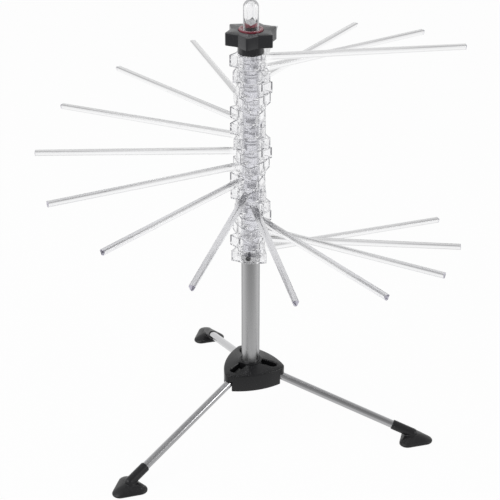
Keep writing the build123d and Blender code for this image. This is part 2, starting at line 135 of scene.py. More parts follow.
def moulded_plastic(name, colour, roughness, grain, grain_depth, coat=0.0):
    """Moulded plastic with a fine spark-eroded grain and a slightly uneven sheen."""
    material, tree, shader, where = new_material(name, {
        "Base Color": (*colour, 1), "Specular IOR Level": 0.4, "Coat Weight": coat, "Coat Roughness": 0.15,
    })
    cloud = noise(tree, where, scale=90, detail=3)
    speckle = noise(tree, where, scale=grain)
    feed(shader, {
        "Roughness": ramp(tree, cloud, 0.3, 0.7, roughness - 0.05, roughness + 0.06),
        "Normal": relief(tree, speckle, strength=0.35, depth=grain_depth),
    })
    return material


def skin(loops, closed):
    """Vertices and faces over loops of equally many points. A closed skin joins the last to the first."""
    count = len(loops[0])
    verts = [point for loop in loops for point in loop]
    faces = []
    rows = len(loops) if closed else len(loops) - 1
    for row in range(rows):
        below, above = row * count, (row + 1) % len(loops) * count
        for step in range(count):
            ahead = (step + 1) % count
            faces.append((below + step, below + ahead, above + ahead, above + step))
    if not closed:
        faces.append(tuple(reversed(range(count))))
        faces.append(tuple(range((len(loops) - 1) * count, len(loops) * count)))
    return verts, faces


def smooth(piece, crease):
    """Shade a piece smooth, with creases where its faces meet at more than an angle."""
    piece.data.shade_smooth()
    piece.data.set_sharp_from_angle(angle=radians(crease))


def make_piece(name, verts, faces, material):
    """An object from vertices in millimetres, with doubles merged and faces turned outwards."""
    mesh = bpy.data.meshes.new(name)
    mesh.from_pydata([Vector(v) * MM for v in verts], [], faces)
    piece = bpy.data.objects.new(name, mesh)
    bpy.context.scene.collection.objects.link(piece)
    mesh.materials.append(material)
    work = bmesh.new()
    work.from_mesh(mesh)
    bmesh.ops.remove_doubles(work, verts=work.verts, dist=2e-6)
    bmesh.ops.dissolve_degenerate(work, edges=work.edges, dist=1e-6)
    bmesh.ops.recalc_face_normals(work, faces=work.faces)
    work.to_mesh(mesh)
    work.free()
    smooth(piece, CREASE)
    return piece


def fixed(piece, name, material, crease):
    """A plain mesh of the evaluated piece under its own name. The working piece goes."""
    bpy.context.view_layer.update()
    depsgraph = bpy.context.evaluated_depsgraph_get()
    mesh = bpy.data.meshes.new_from_object(piece.evaluated_get(depsgraph))
    bpy.data.objects.remove(piece)
    mesh.name = name
    mesh.materials.clear()
    mesh.materials.append(material)
    result = bpy.data.objects.new(name, mesh)
    bpy.context.scene.collection.objects.link(result)
    smooth(result, crease)
    return result


def level_loop(radii, angles, height):
    """Points at the angles, at the radii and one height."""
    return [(r * cos(a), r * sin(a), height) for r, a in zip(radii, angles)]


def hub_radius(angle, inset):
    """Radius of the hub's outline in a direction from a corner, drawn in by an inset."""
    third = 2 * pi / LEG_COUNT
    off = (angle + third / 2) % third - third / 2
    nose = HUB_NOSE_R - inset
    run = sqrt((HUB_BULGE_R - HUB_NOSE_R) ** 2 - (HUB_SIDE_CENTRE * sin(third)) ** 2)
    centre = run + HUB_SIDE_CENTRE * cos(third)
    lean = atan2(HUB_SIDE_CENTRE * sin(third), run)
    edge = atan2(nose * sin(lean), centre + nose * cos(lean))
    if abs(off) <= edge:
        return centre * cos(off) + sqrt(nose**2 - (centre * sin(off)) ** 2)
    along = HUB_SIDE_CENTRE * cos(abs(off) + third)
    return along + sqrt((HUB_BULGE_R - inset) ** 2 - HUB_SIDE_CENTRE**2 + along**2)


hub_spots = [-60 + 3 * k for k in range(15)] + [-16 + 1.6 * k for k in range(21)]
hub_spots += [18 + 3 * k for k in range(14)]
hub_turns = [radians(LEG_TURN * n + spot) for n in range(LEG_COUNT) for spot in hub_spots]


def hub_outline(inset, height):
    return level_loop([hub_radius(a, inset) for a in hub_turns], hub_turns, height)


def hub_circle(radius, height):
    return level_loop([radius] * len(hub_turns), hub_turns, height)


def start_tree(name, **inputs):
    """A Geometry Nodes tree with named inputs of these kinds, and the outputs that hand them on."""
    tree = bpy.data.node_groups.new(name, "GeometryNodeTree")
    face = tree.interface
    for title, kind in {"Geometry": "Geometry", **inputs}.items():
        face.new_socket(title.replace("_", " "), in_out="INPUT", socket_type="NodeSocket" + kind)
    face.new_socket("Geometry", in_out="OUTPUT", socket_type="NodeSocketGeometry")
    return tree, add_node(tree, "NodeGroupInput").outputs


def end_tree(tree, shape, material):
    """Close a tree: its instances become real and get their material."""
    whole = add_node(tree, "GeometryNodeRealizeInstances", {"Geometry": shape}).outputs["Geometry"]
    painted = add_node(tree, "GeometryNodeSetMaterial", {"Geometry": whole, "Material": material})
    add_node(tree, "NodeGroupOutput", {"Geometry": painted.outputs["Geometry"]})


def use_tree(piece, tree, **inputs):
    """Put a tree on a piece and set its named inputs by their identifiers."""
    modifier = piece.modifiers.new(tree.name, "NODES")
    modifier.node_group = tree
    keys = {item.name: item.identifier for item in tree.interface.items_tree if item.in_out == "INPUT"}
    for name, value in inputs.items():
        modifier[keys[name.replace("_", " ")]] = value


def cutter_tree():
    """Geometry Nodes: the cutter is repeated about the axis and taken out of the piece."""
    tree, given = start_tree("repeated_cut", Cutter="Object", Count="Int", Material="Material")
    shape = add_node(tree, "GeometryNodeObjectInfo", {"Object": given["Cutter"]})
    points = add_node(tree, "GeometryNodePoints", {"Count": given["Count"]})
    number = add_node(tree, "GeometryNodeInputIndex").outputs["Index"]
    angle = reckon(tree, "MULTIPLY", reckon(tree, "DIVIDE", number, given["Count"]), 2 * pi)
    spread = add_node(tree, "GeometryNodeInstanceOnPoints", {
        "Points": points.outputs["Points"],
        "Instance": shape.outputs["Geometry"],
        "Rotation": add_node(tree, "ShaderNodeCombineXYZ", {"Z": angle}).outputs["Vector"],
    })
    real = add_node(tree, "GeometryNodeRealizeInstances", {"Geometry": spread.outputs["Instances"]})
    cut_inputs = {"Mesh 1": given["Geometry"], "Mesh 2": real.outputs["Geometry"]}
    cut = add_node(tree, "GeometryNodeMeshBoolean", cut_inputs, operation="DIFFERENCE", solver="EXACT")
    end_tree(tree, cut.outputs["Mesh"], given["Material"])
    return tree


hub_black = moulded_plastic(
    "hub_black", (0.01, 0.01, 0.0112), roughness=0.28, grain=2600, grain_depth=0.00004)
hub_loops = [
    hub_circle(HUB_HOLE_R, HUB_BASE_Z),
    hub_outline(0.5, HUB_BASE_Z),
    hub_outline(0.0, HUB_BASE_Z + 0.5),
    hub_outline(0.0, HUB_RIM_Z - 1.3),
    hub_outline(0.15, HUB_RIM_Z - 0.6),
    hub_outline(0.6, HUB_RIM_Z - 0.1),
    hub_outline(HUB_EDGE_INSET, HUB_RIM_Z + HUB_EDGE_RISE),
]
edge_radii = [hub_radius(a, HUB_EDGE_INSET) for a in hub_turns]
for share in (0.3, 0.6, 0.85, 1.0):
    radii = [r + (HUB_COLLAR_R + HUB_COLLAR_FILLET - r) * share for r in edge_radii]
    rise = HUB_EDGE_RISE + (HUB_SHOULDER_Z - HUB_RIM_Z - HUB_EDGE_RISE) * share
    hub_loops.append(level_loop(radii, hub_turns, HUB_RIM_Z + rise))
hub_loops += [
    hub_circle(HUB_COLLAR_R, HUB_SHOULDER_Z + 0.3),
    hub_circle(HUB_COLLAR_R, HUB_TOP_Z - 0.5),
    hub_circle(HUB_COLLAR_R - 0.2, HUB_TOP_Z - 0.15),
    hub_circle(HUB_COLLAR_R - 0.8, HUB_TOP_Z),
    hub_circle(TUBE_R + 0.35, HUB_TOP_Z),
    hub_circle(TUBE_R + TUBE_FIT, HUB_TOP_Z - 0.3),
    hub_circle(TUBE_R + TUBE_FIT, HUB_BASE_Z + HUB_FLOOR),
    hub_circle(HUB_HOLE_R, HUB_BASE_Z + HUB_FLOOR),
]
hub = make_piece("moulded_hub", *skin(hub_loops, closed=True), hub_black)

leg_drop = PIVOT_Z - FOOT_SOCKET_Z
leg_spread = FOOT_R - PIVOT_R
slope = atan2(leg_drop, leg_spread)


def leg_roof(radius):
    """Height of the roof over an open leg, at a radius."""
    return PIVOT_Z - (radius - PIVOT_R) * sin(slope) / cos(slope) + (LEG_R + LEG_PLAY) / cos(slope)


def cut_under_roof(start, end, half_width, clearance):
    """A block from below the hub up to the roof over a leg, between two radii."""
    low = HUB_BASE_Z - 2
    high = [(radius, leg_roof(radius) - clearance) for radius in (start, end)]
    outline = [(start, low), *high, (end, low)]
    return skin([[(x, side * half_width, z) for x, z in outline] for side in (-1, 1)], closed=False)


def slot_outline(lip):
    """The slot from above, wider by a lip: straight sides and a round outer end."""
    half = CHANNEL_HALF + lip
    centre = SLOT_END - CHANNEL_HALF
    turns = [radians(-90 + 15 * k) for k in range(13)]
    arc = [(centre + half * cos(a), half * sin(a)) for a in turns]
    return [(HUB_COLLAR_R, -half), *arc, (HUB_COLLAR_R, half)]


def level_slot(lip, height):
    return [(x, y, height) for x, y in slot_outline(lip)]


def leaning_slot(lip, drop):
    """The slot's outline at a drop below the hub's sloping top."""
    fall = LIP_SLOPE * (HUB_SHOULDER_Z - HUB_RIM_Z) / (SLOT_END + SLOT_LIP - HUB_COLLAR_R)
    return [(x, y, HUB_SHOULDER_Z - fall * (x - HUB_COLLAR_R) - drop) for x, y in slot_outline(lip)]


slot_loops = [
    level_slot(0, PIVOT_Z - 4),
    leaning_slot(0, SLOT_LIP),
    leaning_slot(SLOT_LIP * 0.7, 0.3),
    leaning_slot(SLOT_LIP, -0.3),
    level_slot(SLOT_LIP, HUB_TOP_Z + 5),
]
cutters = [
    make_piece("notch", *cut_under_roof(NOTCH_START, NOTCH_END, NOTCH_HALF, 0.05), hub_black),
    make_piece("channel", *cut_under_roof(HUB_COLLAR_R, NOTCH_START + 1, CHANNEL_HALF, 0), hub_black),
    make_piece("slot", *skin(slot_loops, closed=False), hub_black),
]
repeated_cut = cutter_tree()
for cutter in cutters:
    use_tree(hub, repeated_cut, Cutter=cutter, Count=LEG_COUNT, Material=hub_black)
soft = hub.modifiers.new("soft edges", "BEVEL")
soft.width = HUB_SOFT_EDGE * MM
soft.segments = 2
soft.limit_method = "ANGLE"
soft.angle_limit = radians(50)
hub = fixed(hub, "moulded_hub", hub_black, HUB_CREASE)
for cutter in cutters:
    bpy.data.objects.remove(cutter)
hub.data.transform(Matrix.Rotation(radians(LEG_ANGLE), 4, "Z"))
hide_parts("hub")
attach(hub, "stand")

# Hub screw and pivot pins. Turned steel: the screw draws the hub against the tube's plug, and
# each pin is pressed across a channel of the hub.


def turned_steel(name, value, roughness):
    """Plain steel with fine turning lines."""
    material, tree, shader, where = new_material(name, {
        "Base Color": (value, value, value * 1.02, 1), "Metallic": 1,
    })
    lines = noise(tree, where, scale=1500)
    feed(shader, {"Roughness": ramp(tree, lines, 0, 1, roughness - 0.08, roughness + 0.08)})
    return material


def dress(name, material):
    """Give a CAD node its finish."""
    node = nodes[name]
    node.data.materials.clear()
    node.data.materials.append(material)


screw_steel = turned_steel("screw_steel", value=0.35, roughness=0.35)
for name in ("hub_screw", "leg_pin_1", "leg_pin_2", "leg_pin_3"):
    dress(name, screw_steel)

# Legs. Polished tubes that plug onto moulded knuckles in the hub and into the feet. They run
# down at one slope, and fold down about the pins.

KNUCKLE_NECK = 7.0
FOOT_SOCKET_DEPTH = 19.0
FOOT_SOCKET_CAP = 11.0
SOCKET_END = sqrt(leg_drop**2 + leg_spread**2)
LEG_END = SOCKET_END - FOOT_SOCKET_CAP
LEG_WALL = 1.0
LEG_EDGE = 0.2
LEG_SIDES = 64


def lathe(profile, sides):
    """Loops of a turned form: one loop for each point (radius, height) of its profile."""
    angles = [2 * pi * k / sides for k in range(sides)]
    return [level_loop([r] * sides, angles, z) for r, z in profile]


def leg_heading(number):
    return radians(LEG_ANGLE + LEG_TURN * number)


def along_leg(number):
    """Matrix from a form that stands along +Z to a leg's line, counted from its pivot."""
    way = Matrix.Rotation(leg_heading(number), 4, "Z")
    tilt = Matrix.Rotation(pi / 2 + slope, 4, "Y")
    return way @ Matrix.Translation(Vector((PIVOT_R, 0, PIVOT_Z)) * MM) @ tilt


def drawn_metal(name, colour, roughness, stretch, lines, axis, edge=1.0):
    """Drawn tube: fine lines along its axis vary its sheen, under a clean reflection."""
    material, tree, shader, where = new_material(name, {
        "Base Color": (*colour, 1), "Metallic": 1, "Specular Tint": (edge, edge, edge, 1),
    })
    along = {"Vector": where, "Rotation": axis, "Scale": (1, 1, stretch)}
    drawn_out = add_node(tree, "ShaderNodeMapping", along).outputs["Vector"]
    streaks = noise(tree, drawn_out, scale=lines, detail=3)
    feed(shader, {"Roughness": ramp(tree, streaks, 0.3, 0.7, roughness * 0.8, roughness * 1.2)})
    return material


leg_profile = [
    (LEG_R - LEG_WALL, KNUCKLE_NECK), (LEG_R - LEG_EDGE, KNUCKLE_NECK), (LEG_R, KNUCKLE_NECK + LEG_EDGE),
    (LEG_R, LEG_END - LEG_EDGE), (LEG_R - LEG_EDGE, LEG_END), (LEG_R - LEG_WALL, LEG_END),
]
for number in range(LEG_COUNT):
    polish = drawn_metal(
        f"leg_polish_{number + 1}", (0.5, 0.5, 0.51), roughness=0.16, stretch=0.02, lines=900,
        axis=(0, pi / 2 - slope, -leg_heading(number)),
    )
    leg_skin = skin(lathe(leg_profile, LEG_SIDES), closed=True)
    leg = make_piece(f"polished_leg_{number + 1}", *leg_skin, polish)
    leg.data.transform(along_leg(number))
    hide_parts(f"leg_{number + 1}")
    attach(leg, f"leg_{number + 1}")

knuckle_black = moulded_plastic(
    "knuckle_black", (0.02, 0.02, 0.021), roughness=0.45, grain=3000, grain_depth=0.00003)
for number in range(LEG_COUNT):
    dress(f"leg_knuckle_{number + 1}", knuckle_black)

# Feet. Black mouldings: a socket for the leg runs into a low crowned pad, narrow outboard and
# with a wing each side inboard, and the flat underside stands on the table.

FOOT_SOCKET_BORE = LEG_R + 0.05
FOOT_SOCKET_OUT = 5.5
FOOT_SOCKET_NOSE = 4.5
FOOT_SOCKET_SIDES = 48
FOOT_LENGTH = 35.5
FOOT_WIDTH = 38.0
FOOT_CORNER = 8.5
FOOT_HEIGHT = 8.0
FOOT_RIM = 1.8
FOOT_CROWN_IN = 13.0
FOOT_BLEND = 0.45
FOOT_CREASE = 45
SMALL_R = 0.5


def rounded_polygon(corners, rounds, arc_steps, edge_steps):
    """Points round a polygon with an arc at each corner, always as many, however the sizes change."""
    arcs = []
    for n, corner in enumerate(corners):
        here = Vector(corner)
        back = (Vector(corners[n - 1]) - here).normalized()
        ahead = (Vector(corners[(n + 1) % len(corners)]) - here).normalized()
        half = back.angle(ahead) / 2
        centre = here + (back + ahead).normalized() * rounds[n] / sin(half)
        run = rounds[n] / (sin(half) / cos(half))
        start, end = here + back * run - centre, here + ahead * run - centre
        first = atan2(start.y, start.x)
        swing = (atan2(end.y, end.x) - first + pi) % (2 * pi) - pi
        turns = [first + swing * k / arc_steps for k in range(arc_steps + 1)]
        arcs.append([centre + Vector((cos(a), sin(a))) * start.length for a in turns])
    points = []
    for n, arc in enumerate(arcs):
        following = arcs[(n + 1) % len(arcs)][0]
        points += arc
        points += [arc[-1].lerp(following, k / edge_steps) for k in range(1, edge_steps)]
    return points


foot_black = moulded_plastic(
    "foot_black", (0.013, 0.013, 0.0145), roughness=0.36, grain=2600, grain_depth=0.00004)
foot_inner, foot_tip = FOOT_R - FOOT_LENGTH / 2, FOOT_R + FOOT_LENGTH / 2
foot_slant = (FOOT_WIDTH / 2 - FOOT_CORNER) / (foot_tip - foot_inner - 2 * FOOT_CORNER)
outer_x = foot_tip - FOOT_CORNER + FOOT_CORNER / cos(atan2(foot_slant, 1)) / foot_slant
inner_y = (outer_x - foot_inner) * foot_slant
pad_corners = [(outer_x, 0), (foot_inner, inner_y), (foot_inner, -inner_y)]
pad_outline = rounded_polygon(pad_corners, [FOOT_CORNER] * 3, arc_steps=16, edge_steps=8)
pad_middle = Vector((foot_inner + FOOT_CROWN_IN, 0))
pad_crown = [(0.99, 0.5), (0.94, 1.3), (0.85, 2.4), (0.72, 3.6), (0.55, 4.8), (0.35, 5.7)]
pad_levels = [(0.97, 0.0), (1.0, 0.6), (1.0, FOOT_RIM)]
pad_levels += [(share, FOOT_RIM + rise) for share, rise in pad_crown] + [(0.15, FOOT_HEIGHT)]
pad_loops = []
for share, height in pad_levels:
    drawn_in = [pad_middle + (point - pad_middle) * share for point in pad_outline]
    pad_loops.append([(point.x, point.y, height) for point in drawn_in])
socket_start = LEG_END - FOOT_SOCKET_DEPTH
nose_r, nose_z = FOOT_SOCKET_OUT - FOOT_SOCKET_NOSE, SOCKET_END - FOOT_SOCKET_NOSE
nose_turns = [radians(t) for t in range(0, 91, 15)]
socket_profile = [
    (SMALL_R, socket_start), (FOOT_SOCKET_OUT - 0.6, socket_start), (FOOT_SOCKET_OUT, socket_start + 0.6),
    *((nose_r + FOOT_SOCKET_NOSE * cos(a), nose_z + FOOT_SOCKET_NOSE * sin(a)) for a in nose_turns),
    (SMALL_R, SOCKET_END),
]
bore_profile = [
    (SMALL_R, socket_start - 5), (FOOT_SOCKET_BORE, socket_start - 5), (FOOT_SOCKET_BORE, LEG_END),
    (SMALL_R, LEG_END),
]
for number in range(LEG_COUNT):
    foot = make_piece("foot_work", *skin(pad_loops, closed=False), foot_black)
    foot.data.transform(Matrix.Rotation(leg_heading(number), 4, "Z"))
    socket, bore = [
        make_piece("foot_tool", *skin(lathe(profile, FOOT_SOCKET_SIDES), closed=False), foot_black)
        for profile in (socket_profile, bore_profile)
    ]
    for tool in (socket, bore):
        tool.data.transform(along_leg(number))
    join = foot.modifiers.new("join", "BOOLEAN")
    join.operation = "UNION"
    join.object = socket
    blend = foot.modifiers.new("blend", "REMESH")
    blend.mode = "VOXEL"
    blend.voxel_size = FOOT_BLEND * MM
    ease = foot.modifiers.new("ease", "SMOOTH")
    ease.factor = 0.5
    ease.iterations = 6
    drill = foot.modifiers.new("drill", "BOOLEAN")
    drill.operation = "DIFFERENCE"
    drill.object = bore
    foot = fixed(foot, f"moulded_foot_{number + 1}", foot_black, FOOT_CREASE)
    for tool in (socket, bore):
        bpy.data.objects.remove(tool)
    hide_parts(f"foot_{number + 1}")
    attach(foot, f"leg_{number + 1}")

# Column tube. Drawn aluminium with a satin finish, held in the hub below and in the lowest ring
# above. A plug inside its foot takes the hub's screw.

STACK_BASE = 206.4
TUBE_SOCKET = 8.0
TUBE_BASE = HUB_BASE_Z + HUB_FLOOR
TUBE_TOP = STACK_BASE + TUBE_SOCKET
TUBE_BORE = 9.25
TUBE_EDGE = 0.15
COLUMN_SIDES = 96
satin = drawn_metal(
    "satin_aluminium", (0.52, 0.52, 0.525), roughness=0.28, stretch=0.015, lines=1300, axis=(0, 0, 0),
    edge=0.45,
)
tube_profile = [
    (TUBE_BORE, TUBE_BASE), (TUBE_R - TUBE_EDGE, TUBE_BASE), (TUBE_R, TUBE_BASE + TUBE_EDGE),
    (TUBE_R, TUBE_TOP - TUBE_EDGE), (TUBE_R - TUBE_EDGE, TUBE_TOP), (TUBE_BORE, TUBE_TOP),
]
tube = make_piece("satin_tube", *skin(lathe(tube_profile, COLUMN_SIDES), closed=True), satin)
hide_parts("column_tube")
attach(tube, "stand")
plug_black = moulded_plastic(
    "plug_black", (0.03, 0.03, 0.03), roughness=0.5, grain=2600, grain_depth=0.00003)
dress("tube_plug", plug_black)

# Sleeve. A clear extruded tube that stands in the column's top. The rings turn on it, and the
# wand is stored in it.

SLEEVE_R = 9.2
SLEEVE_BORE = 8.3
SLEEVE_IN_TUBE = 25.0
ARM_COUNT = 16
ARM_PITCH = 14.7
STACK_TOP = STACK_BASE + ARM_COUNT * ARM_PITCH
KNOB_BASE = STACK_TOP + 11.0
KNOB_TOP = KNOB_BASE + 13.5
SLEEVE_BASE = TUBE_TOP - SLEEVE_IN_TUBE
SLEEVE_TOP = KNOB_TOP - 0.15
# Past these counts of reflections or hits inside clear plastic, a path ends in a painted glow.
MOST_REFLECTIONS = 4.5
MOST_HITS = 12.5


def clear_moulding(name, tint, roughness, painted_glow):
    """Clear polycarbonate. Fine flow marks bend what is seen through it a little. A path that goes on past
    so many reflections or hits inside it ends in a painted glow, an even, faintly violet grey, though the
    piece is no lamp."""
    material, tree, shader, where = new_material(name, {
        "Base Color": (*tint, 1), "Roughness": roughness, "IOR": 1.56, "Transmission Weight": 1,
        "Emission Color": (*painted_glow, 1),
    })
    material.cycles.emission_sampling = "NONE"
    path = add_node(tree, "ShaderNodeLightPath").outputs
    reflected = reckon(tree, "GREATER_THAN", path["Glossy Depth"], MOST_REFLECTIONS)
    long_way = reckon(tree, "GREATER_THAN", path["Ray Depth"], MOST_HITS)
    # The emission is a painted glow, though the piece is no lamp.
    feed(shader, {
        "Normal": relief(tree, noise(tree, where, scale=22), strength=0.05, depth=0.0002),
        "Emission Strength": reckon(tree, "MAXIMUM", reflected, long_way),
    })
    return material


# The last colour is the sleeve's painted glow.
sleeve_clear = clear_moulding(
    "sleeve_clear", (0.93, 0.93, 0.95), roughness=0.02, painted_glow=(0.12, 0.12, 0.14))
sleeve_profile = [
    (SLEEVE_BORE, SLEEVE_BASE), (SLEEVE_R, SLEEVE_BASE), (SLEEVE_R, SLEEVE_TOP), (SLEEVE_BORE, SLEEVE_TOP),
]
sleeve = make_piece("clear_sleeve", *skin(lathe(sleeve_profile, COLUMN_SIDES), closed=True), sleeve_clear)
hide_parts("core_sleeve")
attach(sleeve, "stand")

# Arms. Each is one clear moulding: a cup-shaped ring with three hollow corners, and an arm that
# runs out of its wall. Three dogs below a ring hang in the corner pockets of the next one.

ARM_STEP = 24.75
FIRST_ARM_ANGLE = 8.5
ARM_LEVEL = 9.4
ARM_ROOT = 14.7
ARM_REACH = 225.0
ARM_ROOT_WIDTH = 8.2
ARM_ROOT_HEIGHT = 7.0
ARM_TIP_WIDTH = 6.7
ARM_TIP_HEIGHT = 6.0
ARM_EDGE = 1.3
ARM_KEEL = 0.34
# Radii where the painted shade on an arm's flat top begins and where it is full.
ARM_SHADE_START = 18.0
ARM_SHADE_FULL = 24.0
RING_BORE = 9.28
BUSH_R = 10.88
BODY_R = 15.5
CUP_R = 13.9
CORNER_R = 22.6
CORNER_NOSE = 0.9
NECK_R = 14.0
NECK_HEIGHT = 1.3
CUP_FLOOR = 2.8
CORNER_TOP = 13.25
RING_TOP = 14.55
RING_EDGE = 0.3
POCKET_HALF = 19.9
DOG_HALF = 7.0
DOG_DEPTH = 4.0
DOG_CLEARANCE = 0.3
DOG_STEP = 0.02
SIDE_STEP = 0.1


def cornered_radius(off, round_r, tip_r, nose):
    """Radius of a ring's outline, off radians from a corner: a circle, two sides that touch it, a nose."""
    lean = acos(round_r / tip_r)
    centre = (round_r - nose) / cos(lean)
    edge = atan2(nose * sin(lean), centre + nose * cos(lean))
    if off <= edge:
        return centre * cos(off) + sqrt(nose**2 - (centre * sin(off)) ** 2)
    return round_r / cos(max(lean - off, 0))


def ring_loops(dogs, socket_r, socket_depth):
    """Loops of a ring, one for each point of its section, all the way round."""
    dog_middle = ARM_STEP / 2
    rim_end = degrees(acos(BODY_R / CORNER_R) - acos(CUP_R / (BODY_R - 2 * RING_EDGE)))
    spread = [0, 0.5, 1.0, 1.4, 1.7, 2.4, 4, 6.5, 9.5, 12.4, 12.6, 16, 19.8, 20.0, 24, 28, 32, 36, 40, 44]
    spread += [45.8, 50, 55, rim_end - SIDE_STEP, rim_end + SIDE_STEP]
    spots = {side * spot for spot in spread for side in (-1, 1)} | {60}
    spots |= {dog_middle + side * DOG_HALF + step for side in (-1, 1) for step in (-SIDE_STEP, SIDE_STEP)}
    columns = []
    for corner in (60, 180, 300):
        for spot in sorted(spots):
            off = radians(abs(spot))
            beside_corner = abs(spot) > rim_end
            outer = cornered_radius(off, BODY_R, CORNER_R, CORNER_NOSE)
            inner = cornered_radius(off, CUP_R, CORNER_R * CUP_R / BODY_R, CORNER_NOSE)
            rim = BODY_R if beside_corner else outer - RING_EDGE
            brim = rim - RING_EDGE if beside_corner else rim
            top = RING_TOP if beside_corner else CORNER_TOP
            lip = top - RING_EDGE
            ledge = min(RING_EDGE, (outer - BODY_R) / 2)
            stop = RING_TOP - RING_EDGE if abs(spot) > POCKET_HALF else CUP_FLOOR
            slit = CUP_FLOOR if inner - CUP_R > SIDE_STEP else lip
            foot = -DOG_DEPTH if dogs and abs(spot - dog_middle) < DOG_HALF else 0
            section = [
                (socket_r, 0),
                (BUSH_R + DOG_CLEARANCE - DOG_STEP, 0),
                (BUSH_R + DOG_CLEARANCE, foot),
                (CUP_R - DOG_CLEARANCE, foot),
                (CUP_R - DOG_CLEARANCE + DOG_STEP, 0),
                (NECK_R - RING_EDGE, 0),
                (NECK_R, RING_EDGE),
                (NECK_R, NECK_HEIGHT),
                (outer - RING_EDGE, NECK_HEIGHT),
                (outer, NECK_HEIGHT + RING_EDGE),
                (outer, CORNER_TOP - ledge),
                (outer - ledge, CORNER_TOP),
                (rim, CORNER_TOP),
                (rim, max(lip, CORNER_TOP)),
                (brim, top),
                (inner + RING_EDGE, top),
                (inner, lip),
                (inner, slit),
                (CUP_R, slit),
                (CUP_R, stop),
                (BUSH_R, stop),
                (BUSH_R, RING_TOP - RING_EDGE),
                (BUSH_R - RING_EDGE, RING_TOP),
                (RING_BORE, RING_TOP),
                (RING_BORE, socket_depth),
                (socket_r, socket_depth),
            ]
            angle = radians(corner + spot)
            columns.append([(r * cos(angle), r * sin(angle), z) for r, z in section])
    return [list(loop) for loop in zip(*columns)]


def arm_loop(x, width, height, inset):
    """Section of an arm at x: a flat top with round edges, leaning sides and a round keel."""
    half, top, low = width / 2 - inset, height / 2 - inset, -height / 2 + inset
    keel_r = ARM_KEEL * width - inset
    edge_turns = [radians(t) for t in (0, 30, 60, 90)]
    keel_turns = [radians(t) for t in range(-180, 1, 20)]
    points = [(half - ARM_EDGE + ARM_EDGE * cos(a), top - ARM_EDGE + ARM_EDGE * sin(a)) for a in edge_turns]
    points += [(-y, z) for y, z in reversed(points)]
    points += [(keel_r * cos(a), low + keel_r + keel_r * sin(a)) for a in keel_turns]
    return [(x, y, z + ARM_LEVEL) for y, z in points]


def fan_tree():
    """Geometry Nodes: fuses ring and arm, and lifts and turns them to their level of the stack."""
    tree, given = start_tree(
        "arm_fan", Arm="Object", Level="Int", Step="Float", First_Angle="Float", Pitch="Float",
        Stack_Top="Float", Material="Material",
    )
    above = reckon(tree, "SUBTRACT", given["Level"], 1)
    angle = reckon(tree, "ADD", given["First Angle"], reckon(tree, "MULTIPLY", above, given["Step"]))
    drop = reckon(tree, "MULTIPLY", given["Level"], given["Pitch"])
    height = reckon(tree, "SUBTRACT", given["Stack Top"], drop)
    arm = add_node(tree, "GeometryNodeObjectInfo", {"Object": given["Arm"]})
    fuse = add_node(tree, "GeometryNodeMeshBoolean", operation="UNION", solver="EXACT")
    for shape in (given["Geometry"], arm.outputs["Geometry"]):
        feed(fuse, {"Mesh 2": shape})
    placed = add_node(tree, "GeometryNodeTransform", {
        "Geometry": fuse.outputs["Mesh"],
        "Rotation": add_node(tree, "ShaderNodeCombineXYZ", {"Z": angle}).outputs["Vector"],
        "Translation": add_node(tree, "ShaderNodeCombineXYZ", {"Z": height}).outputs["Vector"],
    })
    end_tree(tree, placed.outputs["Geometry"], given["Material"])
    return tree


def mix_colours(tree, share, first, second):
    """Two colours mixed by a share. Each is a colour or an output."""
    mix = add_node(tree, "ShaderNodeMix", {"Factor": share}, data_type="RGBA")
    colour_inputs = [n for n, socket in enumerate(mix.inputs) if socket.type == "RGBA"]
    feed(mix, dict(zip(colour_inputs, (first, second))))
    return next(socket for socket in mix.outputs if socket.type == "RGBA")


def paint_arm_shade(material, painted_top_shade, painted_end_shade, painted_glow_in_arm):
    """Paint shade on an arm as darker colour on its flat top and on its end, and leave its
    sides and the ring clear. The painted shade on the top is lighter along its middle, and the arm's
    painted glow is brighter than the ring's."""
    tree = material.node_tree
    shader = tree.nodes["Principled BSDF"]
    clear = tuple(shader.inputs["Base Color"].default_value)
    painted_glow_in_ring = tuple(shader.inputs["Emission Color"].default_value)
    where = add_node(tree, "ShaderNodeTexCoord").outputs
    place = add_node(tree, "ShaderNodeSeparateXYZ", {"Vector": where["Object"]}).outputs
    flat = add_node(tree, "ShaderNodeCombineXYZ", {"X": place["X"], "Y": place["Y"]}).outputs["Vector"]
    reach = add_node(tree, "ShaderNodeVectorMath", {0: flat}, operation="LENGTH").outputs["Value"]
    facing = add_node(tree, "ShaderNodeSeparateXYZ", {"Vector": where["Normal"]}).outputs["Z"]
    across = add_node(tree, "ShaderNodeAttribute", attribute_name="across").outputs["Fac"]
    upward = ramp(tree, facing, 0.25, 0.6)
    outside = ramp(tree, reach, ARM_SHADE_START * MM, ARM_SHADE_FULL * MM)
    at_end = ramp(tree, reach, (ARM_REACH - 0.7) * MM, (ARM_REACH - 0.2) * MM)
    off_middle = ramp(tree, reckon(tree, "ABSOLUTE", across), 0.4, 0.65, 0.6)
    on_top = reckon(tree, "MULTIPLY", reckon(tree, "MULTIPLY", upward, outside), off_middle)
    # Painted shade on the flat top, as darker colour.
    top_shaded = mix_colours(tree, on_top, clear, (*painted_top_shade, 1))
    feed(shader, {
        # Painted shade on the end face, and the painted glow, brighter in the arm than in the ring.
        "Base Color": mix_colours(tree, at_end, top_shaded, (*painted_end_shade, 1)),
        "Emission Color": mix_colours(tree, outside, painted_glow_in_ring, (*painted_glow_in_arm, 1)),
    })
